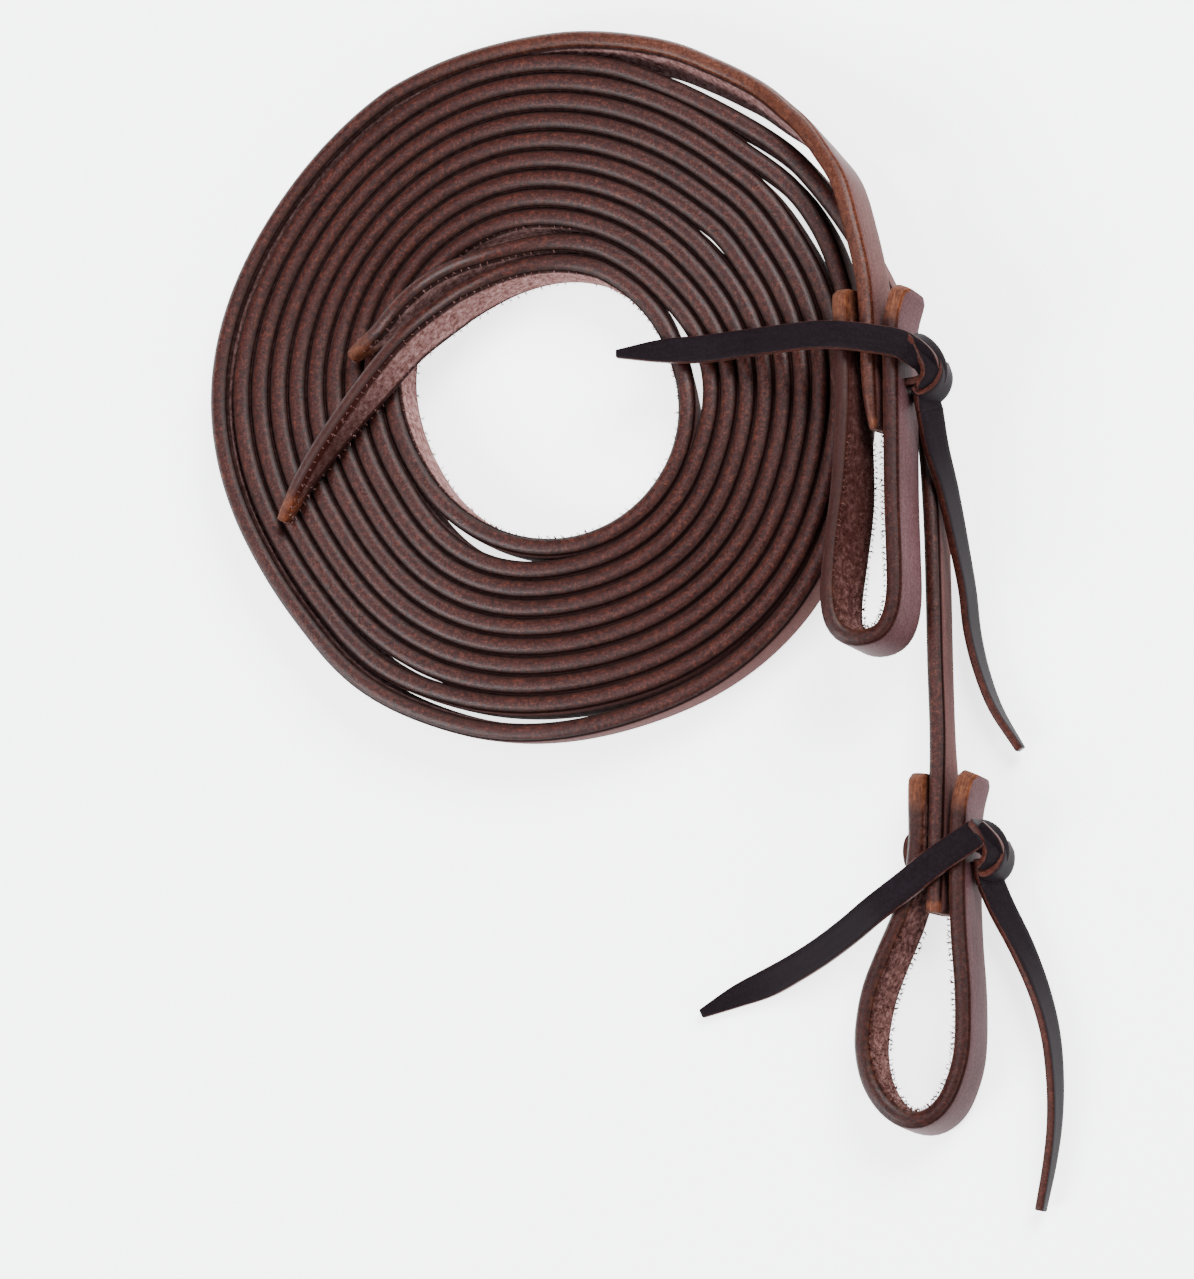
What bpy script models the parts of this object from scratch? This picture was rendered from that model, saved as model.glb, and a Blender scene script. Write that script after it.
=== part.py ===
"""A pair of split reins in harness leather, coiled flat with both bit ends left out.

Each rein is one strap that stands on its edge in the coil. Its bit end is held between the two
legs of a folded bit loop, and a tie lace goes through all three and is knotted on the right.
Lengths are in millimetres until point() turns them into metres.
"""
import math

import bpy
from mathutils import Vector

MM = 0.001

# Strap, bit loop and lace sections
STRAP_WIDTH = 16.0
STRAP_THICK = 4.6
LOOP_THICK = 4.8
LACE_WIDTH = 7.6
LACE_THICK = 2.2
CLEARANCE = 0.3
BUTT_GAP = 0.8                      # half of the gap where a bit end flexes

# Coil: both straps wound together clockwise, seen from above, from the tips outwards
COIL_X, COIL_Y = -20.7, 58.1
STEP_DEG = 10
FULL_TURNS = 5
HOLE_RADIUS, HOLE_OVAL, HOLE_OVAL_AT = 39.4, 1.9, 130.0
PITCH_EVERY_45 = (5.55, 5.40, 5.15, 5.50, 5.35, 5.50, 5.70, 5.35)
CLIMB_FROM = 240.0                  # here each turn starts to step out over the two tips
SLACK = (                           # layer, angle, half the spread, extra room in mm
    (1, 82.0, 34.0, 1.9),
    (1, 195.0, 42.0, 2.0),
    (5, 50.0, 12.0, 0.6),
    (8, 210.0, 20.0, 1.0),
    (9, 184.0, 32.0, 1.6),
    (9, 57.0, 22.0, 1.8),
)

# Levels: on the floor, and standing on the coil
LOW = STRAP_WIDTH / 2
HIGH = STRAP_WIDTH + CLEARANCE + STRAP_WIDTH / 2

# Routes of the straps where they are not coiled: x, y, height of the centre, lean, width.
# Lean is in degrees, towards the left of the way the route runs.
TIP_A = (
    (-74.8, 73.2, 19.6, 4, 5.5), (-70.6, 75.6, 20.6, 5, 7.5), (-64.6, 79.4, 21.6, 6, 9.5),
    (-57.0, 86.0, 23.0, 7, 11.8), (-49.4, 92.6, 18.4, 7, 13.6), (-39.6, 98.6, 11.6, 5, 15.0),
    (-29.6, 102.4, 8.3, 2, 15.8),
)
TIP_B = (
    (-95.4, 27.6, 19.3, 20, 4.5), (-90.6, 35.4, 20.3, 20, 6.5), (-83.6, 44.8, 21.5, 20, 8.8),
    (-74.0, 55.8, 22.7, 20, 11.0), (-64.6, 66.0, 23.4, 19, 12.8), (-55.8, 74.6, 21.8, 16, 14.0),
    (-46.6, 83.4, 16.6, 12, 15.0), (-37.4, 91.0, 11.2, 8, 15.6), (-28.6, 96.4, 8.5, 4, 16.0),
)
END_A = (
    (-20.7, 161.6, 8.05, 0, 16), (2.4, 159.2, 8.6, 5, 16), (21.0, 153.6, 9.4, 8, 16),
    (37.6, 144.8, 12.2, 8, 16), (49.0, 135.6, 17.4, 5, 16), (58.2, 125.0, 22.6, 0, 16),
    (64.9, 113.6, 24.6, -5, 16), (69.5, 102.0, 24.6, -7, 16), (73.0, 91.6, 24.6, -6, 16),
    (75.35, 82.0, HIGH, -3, 16), (76.4, 72.0, HIGH, 0, 16), (77.1, 60.0, HIGH, 0, 16),
    (77.5, 50.0, HIGH, 0, 16), (77.9, 41.5, HIGH, 0, 16),
)
SPLIT_A = 3                         # END_A from this point on swings with the upper bit end
END_B = (
    (40.4, 131.4, LOW, 0, 16), (51.6, 121.6, LOW, 0, 16), (61.2, 110.4, LOW, 0, 16),
    (69.2, 98.4, LOW, 0, 16), (76.0, 85.0, LOW, 0, 16), (81.6, 71.0, LOW, 0, 16),
    (85.6, 56.0, LOW, 0, 16), (88.0, 40.0, LOW, 0, 16), (89.2, 20.0, LOW, 0, 16),
    (89.6, 0.0, LOW, 0, 16), (89.8, -20.0, LOW, 0, 16), (90.2, -40.0, LOW, 0, 16),
    (90.4, -58.0, LOW, 0, 16), (89.9, -74.0, LOW, 0, 16), (89.3, -86.0, LOW, 0, 16),
)
SPLIT_B = 5

# Bit loops, from the left ear round the bend to the right ear
LOWER_LOOP = (
    (85.3, -49.8), (85.1, -53.0), (85.0, -58.5), (84.9, -68.0), (83.6, -78.0), (80.2, -88.5),
    (76.0, -98.0), (72.3, -107.5), (70.5, -117.0), (70.4, -124.0), (72.2, -131.5),
    (76.0, -137.1), (80.8, -140.4), (86.0, -140.4), (90.8, -137.1), (94.0, -131.4),
    (96.0, -123.0), (96.4, -109.0), (95.6, -94.0), (95.4, -82.0), (95.9, -68.0),
    (96.5, -59.0), (98.0, -52.8), (99.0, -50.2),
)
UPPER_LOOP = (
    (70.4, 79.6), (70.4, 76.2), (70.6, 70.5), (70.9, 54.0), (70.2, 40.0), (69.2, 24.0),
    (67.2, 8.0), (66.4, -3.0), (67.2, -9.2), (69.2, -12.9), (72.6, -14.9), (77.0, -14.9),
    (80.4, -12.9), (82.6, -8.6), (83.4, -2.0), (83.2, 8.0), (82.8, 22.0), (82.9, 38.0),
    (83.2, 54.0), (83.3, 68.0), (84.9, 75.4), (86.2, 79.0),
)
EAR_WIDTHS = (8.0, 13.5, STRAP_WIDTH)

# Lace holes, through both legs and the rein end between them
HOLE_R = 2.7
LOWER_HOLES_Y = (-66.0, -74.6)
UPPER_HOLES_Y = (62.0, 53.4)
LOWER_FACES_X = (81.0, 98.6)        # outer faces of the two legs at the holes
UPPER_FACES_X = (68.2, 85.9)
SHANK_WIDTH = 4.0
LOWER_KNOT = ((105.0, -70.6, 8.6), (5.6, 8.4, 6.0))      # middle, half sizes
UPPER_KNOT = ((92.6, 54.2, 24.6), (5.6, 8.4, 6.0))

# Lace tails from the knot out: x, y, height, lean, width. A lean of 90 lies flat.
UPPER_LEFT_TAIL = (
    (87.6, 61.6, 34.0, 90, 7.6), (84.6, 63.0, 34.1, 90, 7.6), (78.6, 64.4, 34.3, 90, 7.6),
    (70.0, 66.0, 34.2, 90, 7.6), (60.8, 67.2, 31.7, 90, 7.6), (50.6, 68.0, 26.6, 90, 7.6),
    (39.0, 68.6, 21.4, 90, 7.6), (27.0, 68.6, 18.4, 90, 7.6), (15.0, 68.4, 17.9, 90, 6.4),
    (2.4, 68.2, 18.0, 90, 2.4),
)
UPPER_RIGHT_TAIL = (
    (92.6, 45.0, 22.6, -14, 7.6), (92.9, 37.0, 19.0, -14, 7.6), (94.0, 26.0, 14.4, -14, 7.6),
    (95.6, 10.0, 8.6, -14, 7.6), (96.9, 0.0, 6.0, -14, 7.6), (98.0, -11.0, 4.8, -14, 7.6),
    (100.2, -21.4, 4.3, -12, 7.2), (104.0, -32.0, 4.3, -10, 6.4), (110.4, -43.0, 4.3, -8, 3.6),
)
LOWER_LEFT_TAIL = (
    (101.0, -66.6, 17.6, 88, 7.6), (96.6, -69.4, 17.8, 90, 7.6), (90.6, -73.2, 17.8, 90, 7.6),
    (80.8, -79.6, 17.9, 90, 7.6), (72.4, -84.8, 17.2, 90, 7.6), (64.4, -90.0, 13.8, 90, 7.6),
    (56.0, -95.0, 9.4, 90, 7.6), (47.6, -99.4, 5.4, 90, 7.6), (39.4, -103.2, 2.6, 90, 7.6),
    (31.0, -106.6, 1.5, 90, 6.0), (21.2, -111.4, 1.4, 90, 2.6),
)
LOWER_RIGHT_TAIL = (
    (103.6, -80.2, 8.0, -6, 7.6), (106.4, -86.4, 6.9, -6, 7.6), (110.9, -96.0, 5.4, -5, 7.6),
    (114.9, -107.0, 4.5, -4, 7.6), (117.4, -118.0, 4.2, -3, 7.6), (118.1, -129.4, 4.2, 0, 7.4),
    (117.6, -141.0, 4.2, 0, 6.6), (115.9, -152.0, 4.2, 0, 5.6), (113.0, -164.8, 4.2, 0, 4.2),
)

PLAN_SHIFT = (-0.55, 0.6)           # brings the middle of the whole plan onto the origin

CHESTNUT = (0.105, 0.034, 0.022)
OILED_RED = (0.13, 0.04, 0.028)
AUBERGINE = (0.024, 0.013, 0.016)


def point(x, y, z):
    return Vector((x + PLAN_SHIFT[0], y + PLAN_SHIFT[1], z)) * MM


def ease(t):
    """0 before t = 0, 1 after t = 1, smooth between."""
    t = min(max(t, 0.0), 1.0)
    return t * t * (3.0 - 2.0 * t)


def hole_radius(angle):
    return HOLE_RADIUS + HOLE_OVAL * math.cos(2.0 * math.radians(angle - HOLE_OVAL_AT))


def pitch(angle):
    """Room one layer takes at this angle, eased between the eighths of a turn."""
    place = (angle % 360.0) / 45.0
    low = int(place) % 8
    share = 0.5 - 0.5 * math.cos(math.pi * (place - int(place)))
    return PITCH_EVERY_45[low] * (1.0 - share) + PITCH_EVERY_45[(low + 1) % 8] * share


def slack(angle, layer):
    room = 0.0
    for first, middle, spread, amount in SLACK:
        away = abs((angle - middle + 180.0) % 360.0 - 180.0)
        if away < spread:
            room += amount * math.cos(0.5 * math.pi * away / spread) ** 2 * ease(layer - first + 1)
    return room


def coil_place(turn, first_layer):
    """Centre of a strap in plan; turn is in degrees, clockwise from +Y."""
    angle = turn % 360.0
    climb = 2.0 * ease((angle - CLIMB_FROM) / (360.0 - CLIMB_FROM))
    layer = first_layer + 2.0 * math.floor(turn / 360.0) + climb
    radius = hole_radius(angle) + pitch(angle) * layer + slack(angle, layer) + STRAP_THICK / 2
    return (COIL_X + radius * math.sin(math.radians(turn)),
            COIL_Y + radius * math.cos(math.radians(turn)))


def coil_turns(first_layer, last_turn):
    stations = []
    for turn in range(0, last_turn + 1, STEP_DEG):
        x, y = coil_place(turn, first_layer)
        stations.append((x, y, LOW, 0.0, STRAP_WIDTH))
    return stations


def smooth(route, pieces):
    """Points of a smooth curve through the route, with this many pieces between two points."""
    rows = [Vector(row) for row in route]
    rows = [rows[0] * 2 - rows[1]] + rows + [rows[-1] * 2 - rows[-2]]
    out = []
    for a, b, c, d in zip(rows, rows[1:], rows[2:], rows[3:]):
        for k in range(pieces):
            t = k / pieces
            out.append(tuple(0.5 * (2 * b + (c - a) * t + (2 * a - 5 * b + 4 * c - d) * t * t
                                    + (3 * b - a - 3 * c + d) * t * t * t)))
    return out + [tuple(rows[-2])]


def material(name, colour, roughness):
    shade = bpy.data.materials.new(name)
    shade.use_nodes = True
    surface = shade.node_tree.nodes["Principled BSDF"]
    surface.inputs["Base Color"].default_value = (*colour, 1.0)
    surface.inputs["Roughness"].default_value = roughness
    surface.inputs["Metallic"].default_value = 0.0
    return shade


def add_mesh(name, corners, faces, shade):
    mesh = bpy.data.meshes.new(name)
    mesh.from_pydata(corners, [], faces)
    mesh.materials.append(shade)
    piece = bpy.data.objects.new(name, mesh)
    bpy.context.scene.collection.objects.link(piece)
    return piece


def ribbon(name, stations, thick, shade):
    """A closed strap through stations of x, y, height, lean and width."""
    centres = [Vector(row[:3]) for row in stations]
    corners = []
    for i, (_, _, _, lean, width) in enumerate(stations):
        along = (centres[min(i + 1, len(centres) - 1)] - centres[max(i - 1, 0)]).normalized()
        left = Vector((0, 0, 1)).cross(along).normalized()
        up = along.cross(left)
        tilt = math.radians(lean)
        wide = (up * math.cos(tilt) + left * math.sin(tilt)) * width / 2
        deep = (left * math.cos(tilt) - up * math.sin(tilt)) * thick / 2
        for side, face in ((-1, -1), (-1, 1), (1, 1), (1, -1)):
            corners.append(point(*(centres[i] + wide * side + deep * face)))
    faces = []
    for i in range(len(stations) - 1):
        for k in range(4):
            a, b = 4 * i + k, 4 * i + (k + 1) % 4
            faces.append((a, b, b + 4, a + 4))
    last = 4 * (len(stations) - 1)
    faces += [(3, 2, 1, 0), (last, last + 1, last + 2, last + 3)]
    return add_mesh(name, corners, faces, shade)


def helper(piece, tool, operation):
    """Cut a tool out of the piece, or join it on, and leave the tool out of the build."""
    tool.hide_render = True
    tool.display_type = "WIRE"
    step = piece.modifiers.new(tool.name, "BOOLEAN")
    step.operation = operation
    step.object = tool


def box(name, low, high, shade):
    corners = [point(x, y, z) for x in (low[0], high[0]) for y in (low[1], high[1])
               for z in (low[2], high[2])]
    faces = [(0, 1, 3, 2), (4, 6, 7, 5), (0, 4, 5, 1), (2, 3, 7, 6), (0, 2, 6, 4), (1, 5, 7, 3)]
    return add_mesh(name, corners, faces, shade)


def drill(pieces, y, z, x_from, x_to):
    """A lace hole along X through all these pieces."""
    bpy.ops.mesh.primitive_cylinder_add(
        vertices=10, radius=HOLE_R * MM, depth=(x_to - x_from) * MM,
        location=point((x_from + x_to) / 2, y, z), rotation=(0, math.pi / 2, 0))
    punch = bpy.context.object
    punch.name = "punch"
    for piece in pieces:
        helper(piece, punch, "DIFFERENCE")


def bit_loop(name, route, height, shade):
    ends = len(EAR_WIDTHS)
    stations = []
    for i, (x, y) in enumerate(route):
        nearest = min(i, len(route) - 1 - i)
        width = EAR_WIDTHS[nearest] if nearest < ends else STRAP_WIDTH
        stations.append((x, y, height, 0.0, width))
    return ribbon(name, stations, LOOP_THICK, shade)


def tie_lace(name, faces_x, holes_y, height, knot, shade):
    """The bight outside the left leg, two shanks through the holes and the knot."""
    middle, half = knot
    bpy.ops.mesh.primitive_uv_sphere_add(segments=12, ring_count=8, radius=1.0,
                                         location=point(*middle))
    piece = bpy.context.object
    piece.name = name
    piece.scale = Vector(half) * MM
    bpy.ops.object.transform_apply(location=False, rotation=False, scale=True)
    piece.data.name = name
    piece.data.materials.append(shade)
    outside = faces_x[0] - CLEARANCE
    for y in holes_y:
        shank = box(name + "_shank", (outside - LACE_THICK + 0.4, y - SHANK_WIDTH / 2, height - 1.1),
                    (middle[0] - 1.0, y + SHANK_WIDTH / 2, height + 1.1), shade)
        helper(piece, shank, "UNION")
    bight = box(name + "_bight", (outside - LACE_THICK, min(holes_y) - 3.0, height - LACE_WIDTH / 2),
                (outside, max(holes_y) + 3.0, height + LACE_WIDTH / 2), shade)
    helper(piece, bight, "UNION")
    return piece


def lace_tail(name, route, shade):
    return ribbon(name, smooth(route, 2), LACE_THICK, shade)


def cut_back(stations, gap, at_end):
    """Shorten a run of stations by the gap at its end or its start."""
    run = [Vector(row) for row in (stations if at_end else reversed(stations))]
    step = (run[-2] - run[-1])
    run[-1] = run[-1] + step * (gap / Vector(step[:3]).length)
    run = [tuple(row) for row in run]
    return run if at_end else run[::-1]


def reins(leather):
    """Four nodes: each rein's coil with its tip, and its bit end, which flexes at the gap."""
    end_a = smooth(END_A, 3)
    cut_a = SPLIT_A * 3
    coil_a = smooth(TIP_A, 2) + coil_turns(1, 360 * FULL_TURNS - STEP_DEG) + end_a[:cut_a + 1]
    ribbon("rein_a_coil", cut_back(coil_a, BUTT_GAP, True), STRAP_THICK, leather)
    a_end = ribbon("rein_a_bit_end", cut_back(end_a[cut_a:], BUTT_GAP, False), STRAP_THICK, leather)

    end_b = smooth(END_B, 2)
    cut_b = SPLIT_B * 2
    coil_b = smooth(TIP_B, 2) + coil_turns(0, 360 * FULL_TURNS + 3 * STEP_DEG) + end_b[:cut_b + 1]
    ribbon("rein_b_coil", cut_back(coil_b, BUTT_GAP, True), STRAP_THICK, leather)
    b_end = ribbon("rein_b_bit_end", cut_back(end_b[cut_b:], BUTT_GAP, False), STRAP_THICK, leather)
    return a_end, b_end


def main():
    for old in list(bpy.data.objects):
        bpy.data.objects.remove(old, do_unlink=True)
    rein_leather = material("rein_leather", CHESTNUT, 0.45)
    loop_leather = material("bit_loop_leather", OILED_RED, 0.42)
    lace_leather = material("lace_leather", AUBERGINE, 0.4)

    a_end, b_end = reins(rein_leather)
    upper = bit_loop("bit_loop_upper", UPPER_LOOP, HIGH, loop_leather)
    lower = bit_loop("bit_loop_lower", LOWER_LOOP, LOW, loop_leather)
    for y in UPPER_HOLES_Y:
        drill((a_end, upper), y, HIGH, UPPER_FACES_X[0] - 3, UPPER_FACES_X[1] + 3)
    for y in LOWER_HOLES_Y:
        drill((b_end, lower), y, LOW, LOWER_FACES_X[0] - 3, LOWER_FACES_X[1] + 3)

    tie_lace("tie_lace_upper", UPPER_FACES_X, UPPER_HOLES_Y, HIGH, UPPER_KNOT, lace_leather)
    tie_lace("tie_lace_lower", LOWER_FACES_X, LOWER_HOLES_Y, LOW, LOWER_KNOT, lace_leather)
    lace_tail("lace_tail_upper_left", UPPER_LEFT_TAIL, lace_leather)
    lace_tail("lace_tail_upper_right", UPPER_RIGHT_TAIL, lace_leather)
    lace_tail("lace_tail_lower_left", LOWER_LEFT_TAIL, lace_leather)
    lace_tail("lace_tail_lower_right", LOWER_RIGHT_TAIL, lace_leather)


main()
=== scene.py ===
"""A pair of split reins in harness leather, coiled flat with both bit ends left out.

Rein A ends in the upper bit loop and rein B in the lower one. Each loop is a short strap folded
round the place of the bit ring, with the rein end between its two ears and a tie lace knotted
through all three. Lengths in the tables are millimetres; spot() turns them into metres.
"""
import math
import random

import bpy
from mathutils import Matrix, Vector


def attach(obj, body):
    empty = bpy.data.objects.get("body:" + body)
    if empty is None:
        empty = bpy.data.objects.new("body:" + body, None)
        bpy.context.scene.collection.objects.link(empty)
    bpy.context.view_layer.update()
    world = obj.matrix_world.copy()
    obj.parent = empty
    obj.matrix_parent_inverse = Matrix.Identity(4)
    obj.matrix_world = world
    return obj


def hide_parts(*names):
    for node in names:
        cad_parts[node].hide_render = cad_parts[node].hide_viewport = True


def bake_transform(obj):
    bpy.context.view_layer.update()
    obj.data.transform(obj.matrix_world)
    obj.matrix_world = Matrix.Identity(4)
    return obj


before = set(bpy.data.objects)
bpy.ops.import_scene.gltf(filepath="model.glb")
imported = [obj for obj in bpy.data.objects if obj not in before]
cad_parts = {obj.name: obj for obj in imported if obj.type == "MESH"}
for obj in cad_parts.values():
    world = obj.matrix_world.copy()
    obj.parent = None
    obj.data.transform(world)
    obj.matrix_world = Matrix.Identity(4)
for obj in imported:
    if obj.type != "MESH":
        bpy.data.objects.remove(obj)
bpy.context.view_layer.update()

MM = 0.001
PLAN_SHIFT = Vector((-0.55, 0.6, 0.0))

# Strap, bit loop and lace sections
STRAP_WIDTH = 16.0
STRAP_THICK = 4.6
LOOP_THICK = 4.8
LACE_THICK = 2.2
SNUG = 0.11                         # a wound strap is as thick as the coil's pitch less this
LOW = 8.0
HIGH = 24.3

# The coil: both straps wound together clockwise, seen from above, from the tips outwards
COIL_X, COIL_Y = -20.7, 58.1
COIL_STEP = 2
FULL_TURNS = 5
HOLE_RADIUS, HOLE_OVAL, HOLE_OVAL_AT = 39.4, 1.9, 130.0
PITCH_EVERY_45 = (5.57, 5.40, 5.15, 5.50, 5.35, 5.46, 5.73, 5.28)
CLIMB_FROM = 240.0
SLACK = (
    (1, 82.0, 34.0, 1.9),
    (1, 204.0, 44.0, 2.2),
    (5, 50.0, 12.0, 0.6),
    (8, 214.0, 18.0, 0.9),
    (9, 184.0, 30.0, 1.2),
    (9, 59.0, 19.0, 2.0),
)

# Routes out of the coil: x, y, height, lean towards the left of the way, width, thickness
TIP_A = (
    (-74.8, 73.2, 19.6, 4, 5.5, 3.6), (-70.6, 75.6, 20.6, 5, 7.5, 4.2),
    (-64.6, 79.4, 21.6, 6, 9.5, 4.6), (-57.0, 86.0, 23.0, 7, 11.8, 4.6),
    (-49.4, 92.6, 18.4, 7, 13.6, 4.6), (-39.6, 98.6, 11.6, 5, 15.0, 4.6),
    (-29.6, 102.4, 8.3, 2, 15.8, 4.6),
)
TIP_B = (
    (-95.4, 27.6, 19.3, 20, 4.5, 3.6), (-90.6, 35.4, 20.3, 20, 6.5, 4.2),
    (-83.6, 44.8, 21.5, 20, 8.8, 4.6), (-74.0, 55.8, 22.7, 20, 11.0, 4.6),
    (-64.6, 66.0, 23.4, 19, 12.8, 4.6), (-56.4, 75.3, 21.8, 16, 14.0, 4.6),
    (-47.3, 84.2, 16.6, 12, 15.0, 4.6), (-38.0, 92.0, 11.2, 8, 15.6, 4.6),
    (-29.0, 97.3, 8.5, 4, 16.0, 4.6),
)
END_A = (
    (-20.7, 162.1, 8.5, 9, 16, 5.2), (3.1, 157.9, 8.7, 12, 16, 5.2),
    (17.1, 153.8, 9.0, 14, 16, 5.1), (28.4, 148.3, 9.5, 14, 16, 5.0),
    (36.9, 143.4, 10.3, 14, 16, 5.0), (43.4, 139.1, 11.5, 12, 16, 5.0),
    (50.4, 133.1, 13.8, 9, 16, 5.0), (57.0, 127.2, 16.8, 3, 16, 5.0),
    (63.2, 119.6, 20.2, -4, 16, 5.0), (69.3, 110.0, 23.2, -9, 16, 5.0),
    (73.2, 96.9, 24.6, -10, 16, 4.9), (75.9, 84.4, 24.6, -10, 16, 4.7),
    (76.8, 76.0, HIGH, -10, 16, 4.6), (77.1, 66.0, HIGH, -10, 16, 4.6),
    (77.3, 56.0, HIGH, -10, 15.8, 4.4), (77.5, 49.0, HIGH - 0.1, -9, 15.2, 3.9),
    (77.9, 41.5, HIGH - 0.5, -8, 13.6, 2.2),
)
SPLIT_A = 4
END_B = (
    (40.4, 131.4, LOW, 0, 16, 5.0), (51.6, 121.6, LOW, 0, 16, 5.3),
    (61.0, 110.2, LOW, 0, 16, 5.4), (68.9, 98.2, LOW, 0, 16, 5.2),
    (76.0, 85.0, LOW, 0, 16, 4.6), (81.6, 71.0, LOW, 0, 16, 4.6),
    (85.6, 56.0, LOW, 0, 16, 4.6), (88.0, 40.0, LOW, 0, 16, 4.6),
    (89.2, 20.0, LOW, 0, 16, 4.6), (89.6, 0.0, LOW, 0, 16, 4.6),
    (89.8, -20.0, LOW, 0, 16, 4.6), (90.2, -40.0, LOW, 0, 16, 4.6),
    (90.5, -58.0, LOW + 0.1, -7, 16, 4.6), (90.0, -74.0, LOW + 0.1, -8, 16, 4.6),
    (89.4, -86.8, LOW + 0.1, -8, 16, 4.6),
)
SPLIT_B = 5
RUB_IN = 130.0                      # rein A's edge turns lighter over its last run in the coil

LOWER_LOOP = (
    (85.3, -49.8), (85.1, -53.0), (85.0, -58.5), (84.9, -68.0), (83.6, -78.0), (80.2, -88.5),
    (76.0, -98.0), (72.2, -107.5), (70.2, -117.0), (70.0, -124.4), (71.7, -132.0),
    (75.6, -138.1), (80.7, -141.6), (86.2, -141.6), (91.1, -138.0), (94.4, -131.6),
    (96.5, -123.0), (96.9, -109.0), (96.1, -94.0), (95.8, -82.0), (96.1, -68.0),
    (96.7, -59.0), (98.2, -52.8), (99.2, -50.2),
)
UPPER_LOOP = (
    (70.2, 79.6), (70.2, 76.2), (70.4, 70.5), (70.8, 54.0), (70.5, 40.0), (70.0, 24.0),
    (68.0, 8.0), (66.8, -3.0), (67.2, -9.4), (69.2, -13.4), (72.8, -15.5), (77.2, -15.5),
    (80.8, -13.4), (83.0, -8.8), (83.9, -2.0), (83.8, 8.0), (83.5, 22.0), (83.5, 38.0),
    (83.5, 54.0), (83.6, 68.0), (85.2, 75.4), (86.6, 79.0),
)

# Lace tails from the knot out; a lean of 90 lies flat
UPPER_LEFT_TAIL = (
    (87.6, 61.6, 34.0, 90, 7.6), (84.6, 63.0, 34.1, 90, 7.6), (78.6, 64.4, 34.3, 90, 7.6),
    (70.0, 66.0, 34.2, 90, 7.6), (60.8, 67.2, 31.7, 90, 7.6), (50.6, 68.0, 26.6, 90, 7.6),
    (39.0, 68.6, 21.4, 90, 7.6), (27.0, 68.6, 18.4, 90, 7.6), (15.0, 69.0, 17.9, 90, 6.4),
    (2.4, 69.0, 18.0, 90, 2.4),
)
UPPER_RIGHT_TAIL = (
    (91.2, 46.6, 23.4, -48, 7.6), (91.9, 37.0, 19.0, -42, 7.6), (93.9, 26.0, 14.4, -28, 7.6),
    (95.9, 10.0, 8.6, -19, 7.6), (97.1, 0.0, 6.0, -15, 7.6), (98.0, -11.0, 4.8, -14, 7.6),
    (100.2, -21.4, 4.3, -12, 7.2), (104.0, -32.0, 4.3, -10, 6.4), (110.4, -43.0, 4.3, -8, 3.6),
)
LOWER_LEFT_TAIL = (
    (101.0, -66.6, 17.6, 88, 7.6), (96.6, -69.4, 17.8, 90, 7.6), (90.6, -73.2, 17.8, 90, 7.6),
    (81.2, -80.2, 17.9, 90, 7.6), (73.2, -85.8, 17.2, 90, 7.6), (65.2, -91.2, 13.8, 90, 7.6),
    (56.8, -96.0, 9.4, 90, 7.6), (48.2, -100.2, 5.4, 90, 7.6), (39.8, -103.9, 2.6, 90, 7.6),
    (31.0, -107.2, 1.5, 90, 6.0), (21.2, -111.6, 1.4, 90, 2.6),
)
LOWER_RIGHT_TAIL = (
    (102.6, -78.6, 8.4, -52, 7.6), (105.3, -85.6, 7.0, -50, 7.6), (110.2, -96.0, 5.6, -40, 7.6),
    (114.3, -107.0, 4.4, -28, 7.6), (117.1, -118.0, 4.3, -20, 7.6),
    (118.2, -129.4, 4.3, -15, 7.4), (118.0, -141.0, 4.2, -12, 6.6),
    (116.5, -152.0, 4.0, -10, 5.6), (113.8, -164.6, 3.8, -8, 4.2),
)

# Knots: what the lace does outside the right leg, each run as x, y, height, lean and width
LOWER_KNOT = (
    ((99.7, -63.6, 15.6, -4, 7.6), (101.7, -64.8, 15.5, -24, 7.6), (104.1, -67.3, 14.6, -42, 7.6),
     (105.3, -70.6, 13.4, -44, 7.6), (104.4, -73.6, 12.2, -36, 7.6),
     (102.3, -75.2, 11.0, -24, 7.2)),
    ((106.3, -68.4, 9.4, -6, 7.2), (107.2, -71.6, 9.4, -12, 7.6), (106.1, -75.2, 9.2, -17, 7.6),
     (103.1, -77.6, 9.0, -18, 7.6), (100.9, -77.6, 8.8, -16, 7.6), (99.7, -75.4, 8.8, -10, 7.4)),
    ((100.4, -66.4, 17.5, 90, 7.6), (102.1, -67.9, 16.6, 84, 7.4), (103.6, -69.6, 14.2, 76, 7.0),
     (104.4, -71.6, 11.0, 66, 6.6)),
    ((97.6, -66.2, 8.2, 0, 6.4), (101.0, -66.3, 8.8, 0, 6.8), (104.6, -67.6, 9.6, 0, 7.2)),
    ((97.6, -74.5, 8.0, 0, 6.4), (101.4, -74.2, 8.4, 0, 6.8), (105.6, -72.6, 9.0, 0, 7.2)),
    ((101.5, -72.6, 9.6, -30, 7.4), (101.8, -76.0, 9.1, -42, 7.6), (102.4, -78.4, 8.5, -50, 7.6)),
    ((84.4, -66.2, 8.0, 0, 6.6), (82.0, -66.4, 8.0, 0, 7.4), (80.9, -68.6, 8.0, 0, 7.6),
     (80.9, -72.0, 8.0, 0, 7.6), (81.8, -74.4, 8.0, 0, 7.4), (84.2, -74.6, 8.0, 0, 6.6)),
)
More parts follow.
